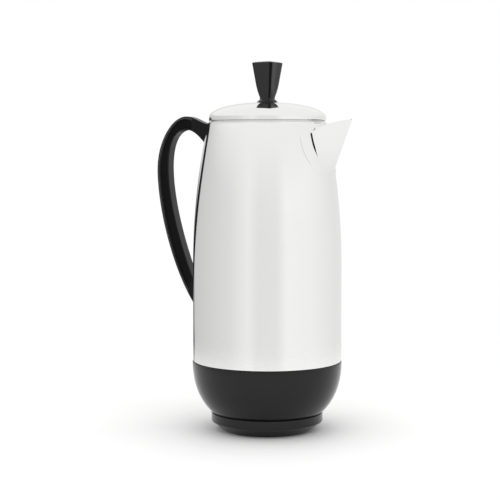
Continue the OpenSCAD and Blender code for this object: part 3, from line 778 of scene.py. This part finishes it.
def make_knob():
    sides = 128
    flange = [(3.0, 0), (8.7, 0), (9.05, 0.3), (8.95, 0.7), (8.2, 1.3), (7.3, 2.1), (6.75, 2.8)]
    levels = [(radius, 2.0, 0.0, KNOB_LOW_Z + up) for radius, up in flange]
    waist_z = KNOB_LOW_Z + 3.2
    body_top = KNOB_TOP_Z - 1.9
    steps = 24
    for i in range(steps + 1):
        share = i / steps
        square = 2.6 + 6.4 * smooth(0, 0.45, share)
        hollow = KNOB_HOLLOW * smooth(0, 0.5, share)
        half = WAIST_R + FLARE * share ** 0.98
        levels.append((half, square, hollow, waist_z + (body_top - waist_z) * share))
    half, square, hollow, _ = levels[-1]
    edge = 0.8
    for k in range(1, 6):
        a = math.pi / 2 * k / 5
        levels.append((half - edge * (1 - math.cos(a)), square, hollow, body_top + edge * math.sin(a)))
    for share in (0.85, 0.6, 0.35, 0.1):
        levels.append(((half - edge) * share, square, hollow * share, KNOB_TOP_Z - 1.1 * share ** 2))
    rows = []
    for half, square, hollow, z in levels:
        rows.append([(x, y, z) for x, y in knob_outline(half, square, hollow, sides)])
    faces = ring_faces(rows, False)
    faces += [tuple(range(sides)), tuple(range(sides * (len(rows) - 1), sides * len(rows)))]
    knob = link("knob", mesh_of([point for row in rows for point in row], faces))
    finished(knob, "satin_black", "lid", "lid_knob")
    knob.data.materials.append(PAINTED_SHADE)
    # Upright faces near each edge get the painted shade material
    for polygon in knob.data.polygons:
        x, y, z = polygon.center / MM
        corner = math.degrees(math.atan2(y, x) - KNOB_TURN) % 90 - 45
        upright = abs(polygon.normal.z) < 0.5
        polygon.material_index = int(upright and z > waist_z - 2 and abs(corner) < KNOB_EDGE)
    return knob


# ---------------------------------------------------------------- brewing parts
def pegs(rings, radius, low, high, sides=14):
    """Upright pegs that cut rings of round holes, spaced evenly in rings given as distances from the axis."""
    points = []
    faces = []
    for reach in rings:
        count = round(2 * math.pi * reach / HOLE_SPACING)
        for i in range(count):
            turn = 2 * math.pi * (i + 0.5 * (rings.index(reach) % 2)) / count
            start = len(points)
            for z in (low, high):
                for k in range(sides):
                    a = 2 * math.pi * k / sides
                    points.append((reach * math.cos(turn) + radius * math.cos(a),
                                   reach * math.sin(turn) + radius * math.sin(a), z))
            faces += [tuple(range(start, start + sides)), tuple(range(start + sides, start + 2 * sides))]
            faces += [(start + k, start + (k + 1) % sides, start + sides + (k + 1) % sides, start + sides + k)
                      for k in range(sides)]
    return mesh_of(points, faces)


HOLE_SPACING = 5.6
HOLE_R = 1.0


def make_basket():
    """Drawn cup with a perforated floor, a bead under its rolled lip and a clear middle for its sleeve."""
    wall = 0.9
    low, high = BASKET_Z, BASKET_TOP_Z
    lip_r = BASKET_R
    cup_r = lip_r - 2
    hole_r = 6.05
    corners = [bent(hole_r, low), bent(cup_r, low, 2.2), bent(cup_r, high - 7, 0.6),
               bent(cup_r + 0.5, high - 6, 0.5), bent(cup_r, high - 5, 0.6),
               bent(cup_r, high - wall, 0.3), bent(lip_r, high - wall, 0.4), bent(lip_r, high, 0.4),
               bent(cup_r - wall, high, 0.6), bent(cup_r - wall, high - 4.6, 0.5),
               bent(cup_r - wall + 0.45, high - 6, 0.5), bent(cup_r - wall, high - 7.4, 0.5),
               bent(cup_r - wall, low + wall, 1.5), bent(hole_r, low + wall)]
    basket = link("basket_cup", lathe(rounded(corners), 120))
    cut(basket, pegs([11, 16, 21, 26, 31, 36, 40.2], HOLE_R, low - 1, low + 2))
    return finished(basket, "brushed", "coffee_basket", "basket")


def make_spreader():
    """Perforated lid of the basket, dished slightly towards its middle, with an upright rim."""
    low, high = extent("spreader")
    rim_r = high.y
    hole_r = 6.5
    wall = 0.9
    corners = [bent(hole_r, low.z), bent(rim_r, low.z, 0.8), bent(rim_r, high.z, 0.35),
               bent(rim_r - wall, high.z, 0.35), bent(rim_r - wall, low.z + wall + 0.3, 0.5),
               bent(rim_r - 4, low.z + wall + 0.3, 0.5), bent(rim_r - 5, low.z + wall, 0.5),
               bent(hole_r, low.z + wall)]
    spreader = link("spreader_plate", lathe(rounded(corners), 120))
    cut(spreader, pegs([11, 16, 21, 26, 31, 36], HOLE_R, low.z - 1, low.z + 2))
    return finished(spreader, "brushed", "basket_cover", "spreader")


for name, node in frame["nodes"].items():
    slot = next(part["material_slot"] for part in frame["record"]["subparts"] if part["node"] == name)
    for place in node.material_slots:
        place.material = FINISHES[slot]

make_vessel()
make_spout()
# Strips of painted shade in the spout's two creases
make_spout_crease_shade(1)
make_spout_crease_shade(-1)
make_handle()
make_base_shell()
make_foot_ring()
make_lid_shell()
make_knob()
make_basket()
make_spreader()


# ---------------------------------------------------------------- studio
VIEW_TURN = math.radians(20)
TOWARDS = Vector((math.sin(VIEW_TURN), -math.cos(VIEW_TURN), 0))
ASIDE = Vector((math.cos(VIEW_TURN), math.sin(VIEW_TURN), 0))


def place_camera():
    data = bpy.data.cameras.new("camera")
    data.sensor_width = 36
    data.lens = 95.5
    camera = bpy.data.objects.new("camera", data)
    bpy.context.scene.collection.objects.link(camera)
    camera.location = TOWARDS * 1.170 + Vector((0, 0, 0.245))
    aim = Vector((-0.0143, -0.0052, 0.1594)) - camera.location
    camera.rotation_euler = aim.to_track_quat("-Z", "Y").to_euler()
    bpy.context.scene.camera = camera


def light_world():
    """Pale walls all round: brightest to the right of the camera, grey to its left, dark behind the pot."""
    world = bpy.data.worlds.new("studio")
    bpy.context.scene.world = world
    world.use_nodes = True
    nodes = Nodes(world.node_tree)
    way = nodes.node("ShaderNodeTexCoord", output=0)
    towards = nodes.node("ShaderNodeVectorMath", {"operation": "DOT_PRODUCT"}, output=1, _0=way, _1=TOWARDS)
    aside = nodes.node("ShaderNodeVectorMath", {"operation": "DOT_PRODUCT"}, output=1, _0=way, _1=ASIDE)
    turn = nodes.maths("ARCTAN2", aside, towards) * (1 / (2 * math.pi)) + 0.5
    bays = {-151: 0.62, -110: 0.7, -60: 0.8, -30: 0.94, -14: 0.85, 14: 0.86, 30: 1.0, 70: 0.98, 130: 0.86}
    height = nodes.part(way, 2)

    def walls_with(behind):
        stops = {0.5 + a / 360: grey for a, grey in {**bays, **behind}.items()}
        return nodes.node("ShaderNodeValToRGB", {"stops": stops}, Fac=turn)

    low = walls_with({-178: 0.02, -158: 0.04, 166: 0.84, 173: 0.1, 178: 0.02})
    middle = walls_with({-178: 0.12, -162: 0.2, 168: 0.84, 178: 0.3})
    high = walls_with({-178: 0.74, 168: 0.84, 178: 0.8})
    walls = nodes.mix(nodes.step(height, -0.15, -0.125), low, middle)
    walls = nodes.mix(nodes.step(height, -0.01, 0.035), walls, high)
    walls = nodes.mix(nodes.step(height, 0.12, 0.4), walls, (0.9, 0.9, 0.895))
    level = nodes.step(height, 0.02, 0.5, 1.0, 1.08)
    seen = nodes.node("ShaderNodeLightPath", output=0)
    colour = nodes.mix(seen, walls, (1.0, 1.0, 1.0))
    shader = world.node_tree.nodes["Background"]
    nodes.join(shader.inputs["Color"], colour)
    nodes.join(shader.inputs["Strength"], seen + (1 - seen) * level)


def add_softbox(name, place, size, power):
    data = bpy.data.lights.new(name, "AREA")
    data.shape = "SQUARE"
    data.size = size
    data.energy = power
    lamp = bpy.data.objects.new(name, data)
    bpy.context.scene.collection.objects.link(lamp)
    lamp.location = place
    lamp.visible_glossy = False
    lamp.rotation_euler = (Vector((0, 0, 0.1)) - Vector(place)).to_track_quat("-Z", "Y").to_euler()


def lay_floor():
    steps = 96
    reach = 1500
    under = -0.05
    turns = [2 * math.pi * i / steps for i in range(steps)]
    rows = [[polar(radius, a, under) for a in turns] for radius in (1, 400, reach)]
    faces = ring_faces(rows, False) + [tuple(range(steps))]
    floor = link("floor", mesh_of([point for row in rows for point in row], faces))
    finish = Finish("pale_floor", Roughness=0.7)
    x = finish.part(finish.at, 0)
    y = finish.part(finish.at, 1)
    distance = (x * x + y * y) ** 0.5
    cloud = finish.noise(finish.at, 60, 2.0)
    finish.set(Base_Color=finish.mix(cloud, (0.93, 0.93, 0.93), (0.95, 0.95, 0.95)),
               Alpha=finish.step(distance, 0.22, 0.62, 1.0, 0.0))
    floor.data.materials.append(finish.material)


bpy.context.scene.view_settings.view_transform = "Standard"
place_camera()
light_world()
add_softbox("overhead", (0.2, -0.3, 1.8), 1.6, 9.0)
lay_floor()
